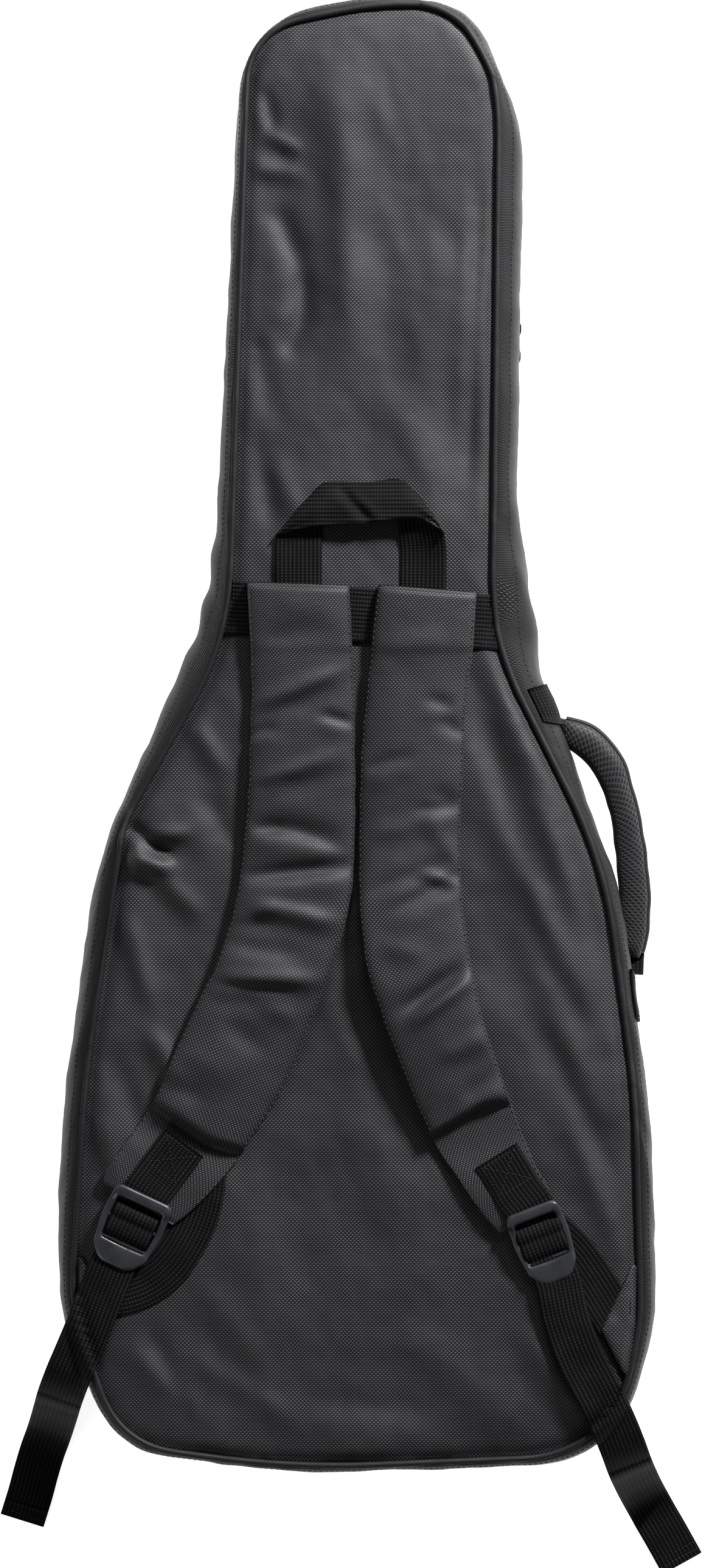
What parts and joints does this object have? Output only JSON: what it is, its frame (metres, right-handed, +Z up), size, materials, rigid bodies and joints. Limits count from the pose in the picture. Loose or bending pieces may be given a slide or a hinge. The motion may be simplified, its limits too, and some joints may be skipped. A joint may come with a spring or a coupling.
{
  "type": "padded guitar bag",
  "caption": "Padded soft guitar case lying on its front, with backpack straps, ladder-lock buckles, webbing tails, a grab handle and a side handle.",
  "frame": {"origin": "on the resting plane under the flat front pocket, at half the bag's length", "axes": "+Y towards the head end, +X to the right of somebody who looks down at the back panel, +Z up, out of the back panel"},
  "size_m": [0.5124, 1.1464, 0.1337],
  "materials": {
    "pack_cloth": "dobby-weave polyester pack cloth with a staggered fleck, soft sheen",
    "webbing": "ribbed polypropylene webbing, matt black",
    "piping": "cord piping covered in pack cloth",
    "foam": "closed-cell foam",
    "lining": "brushed tricot lining",
    "zipper_tape": "woven zipper tape",
    "zipper_coil": "moulded black zipper teeth",
    "zipper_metal": "black painted zinc slider",
    "pull_tab": "moulded rubber pull tab",
    "buckle_plastic": "moulded acetal, satin dark grey",
    "air_mesh": "open spacer mesh",
    "wear_patch": "smooth vinyl wear patch"
  },
  "bodies": {
    "front_shell": {"pocket_panel": "pack_cloth", "pocket_gusset": "pack_cloth", "pocket_zipper_tape": "zipper_tape", "pocket_zipper_teeth": "zipper_coil", "front_panel": "pack_cloth", "front_padding": "foam", "front_lining": "lining", "front_gusset": "pack_cloth", "front_side_padding": "foam", "front_piping": "piping", "front_zipper_tape": "zipper_tape", "front_zipper_teeth": "zipper_coil", "spine_strip": "pack_cloth", "head_patch": "wear_patch", "end_patch": "wear_patch"},
    "pocket_slider": {"pocket_slider": "zipper_metal"},
    "pocket_pull": {"pocket_pull": "pull_tab"},
    "upper_slider": {"upper_slider": "zipper_metal"},
    "upper_pull": {"upper_pull": "pull_tab"},
    "lower_slider": {"lower_slider": "zipper_metal"},
    "lower_pull": {"lower_pull": "pull_tab"},
    "back_shell": {"back_panel": "pack_cloth", "back_padding": "foam", "back_lining": "lining", "back_gusset": "pack_cloth", "back_side_padding": "foam", "back_piping": "piping", "back_zipper_tape": "zipper_tape", "back_zipper_teeth": "zipper_coil", "strap_band": "webbing", "left_anchor": "webbing", "right_anchor": "webbing", "left_lower_webbing": "webbing", "right_lower_webbing": "webbing", "side_handle_upper_base": "webbing", "side_handle_lower_base": "webbing"},
    "grab_handle": {"grab_handle": "webbing"},
    "side_handle": {"side_handle_grip": "air_mesh", "side_handle_webbing": "webbing"},
    "left_strap": {"left_strap_backing": "air_mesh", "left_strap_foam": "foam", "left_strap_cover": "pack_cloth", "left_strap_patch": "webbing"},
    "left_buckle": {"left_buckle": "buckle_plastic"},
    "left_tail": {"left_tail": "webbing"},
    "right_strap": {"right_strap_backing": "air_mesh", "right_strap_foam": "foam", "right_strap_cover": "pack_cloth", "right_strap_patch": "webbing"},
    "right_buckle": {"right_buckle": "buckle_plastic"},
    "right_tail": {"right_tail": "webbing"}
  },
  "joints": [
    {"name": "shell_fold", "type": "hinge", "parent": "front_shell", "child": "back_shell", "pos_m": [-0.09532, 0.445, 0.0625], "axis": [-0.1693, -0.9856, 0], "range_deg": [0, 100], "deforming": ["spine_strip"]},
    {"name": "upper_zip", "type": "slide", "parent": "front_shell", "child": "upper_slider", "axis": [0.0197, 0.9998, 0], "range_m": [0, 0.1]},
    {"name": "lower_zip", "type": "slide", "parent": "front_shell", "child": "lower_slider", "axis": [0.0197, 0.9998, 0], "range_m": [-0.12, 0]},
    {"name": "upper_pull_swing", "type": "hinge", "parent": "upper_slider", "child": "upper_pull", "pos_m": [0.12155, 0.3, 0.0625], "axis": [0, -1, 0], "range_deg": [0, 100]},
    {"name": "lower_pull_swing", "type": "hinge", "parent": "lower_slider", "child": "lower_pull", "pos_m": [0.12116, 0.28, 0.0625], "axis": [0, -1, 0], "range_deg": [0, 100]},
    {"name": "pocket_zip", "type": "slide", "parent": "front_shell", "child": "pocket_slider", "axis": [1, 0, 0], "range_m": [0, 0.16]},
    {"name": "pocket_pull_swing", "type": "hinge", "parent": "pocket_slider", "child": "pocket_pull", "pos_m": [-0.082, 0.025, 0.007], "axis": [0, 0, 1], "range_deg": [0, 150]},
    {"name": "grab_lift", "type": "hinge", "parent": "back_shell", "child": "grab_handle", "pos_m": [0.0035, 0.1145, 0.1217], "axis": [1, 0, 0], "range_deg": [0, 100]},
    {"name": "side_handle_swing", "type": "hinge", "parent": "back_shell", "child": "side_handle", "pos_m": [0.156, 0.008, 0.088], "axis": [0.3008, -0.9537, 0], "range_deg": [-60, 35]},
    {"name": "left_strap_lift", "type": "hinge", "parent": "back_shell", "child": "left_strap", "pos_m": [-0.038, 0.0656, 0.121], "axis": [-1, 0, 0], "range_deg": [0, 50]},
    {"name": "left_buckle_tilt", "type": "hinge", "parent": "left_strap", "child": "left_buckle", "pos_m": [-0.15193, -0.33521, 0.125], "axis": [-0.9063, 0.4226, 0], "range_deg": [0, 60]},
    {"name": "left_tail_swing", "type": "hinge", "parent": "left_buckle", "child": "left_tail", "pos_m": [-0.1775, -0.388, 0.12375], "axis": [-0.9455, 0.3256, 0], "range_deg": [0, 80]},
    {"name": "right_strap_lift", "type": "hinge", "parent": "back_shell", "child": "right_strap", "pos_m": [0.05, 0.0656, 0.121], "axis": [-1, 0, 0], "range_deg": [0, 50]},
    {"name": "right_buckle_tilt", "type": "hinge", "parent": "right_strap", "child": "right_buckle", "pos_m": [0.12477, -0.34678, 0.125], "axis": [-0.9184, -0.3955, 0], "range_deg": [0, 60]},
    {"name": "right_tail_swing", "type": "hinge", "parent": "right_buckle", "child": "right_tail", "pos_m": [0.143, -0.3995, 0.12375], "axis": [-0.9085, -0.4179, 0], "range_deg": [0, 80]}
  ],
  "couplings": [
    {"joint": "left_tail_swing", "follows": "shell_fold", "ratio": 0.8}
  ]
}
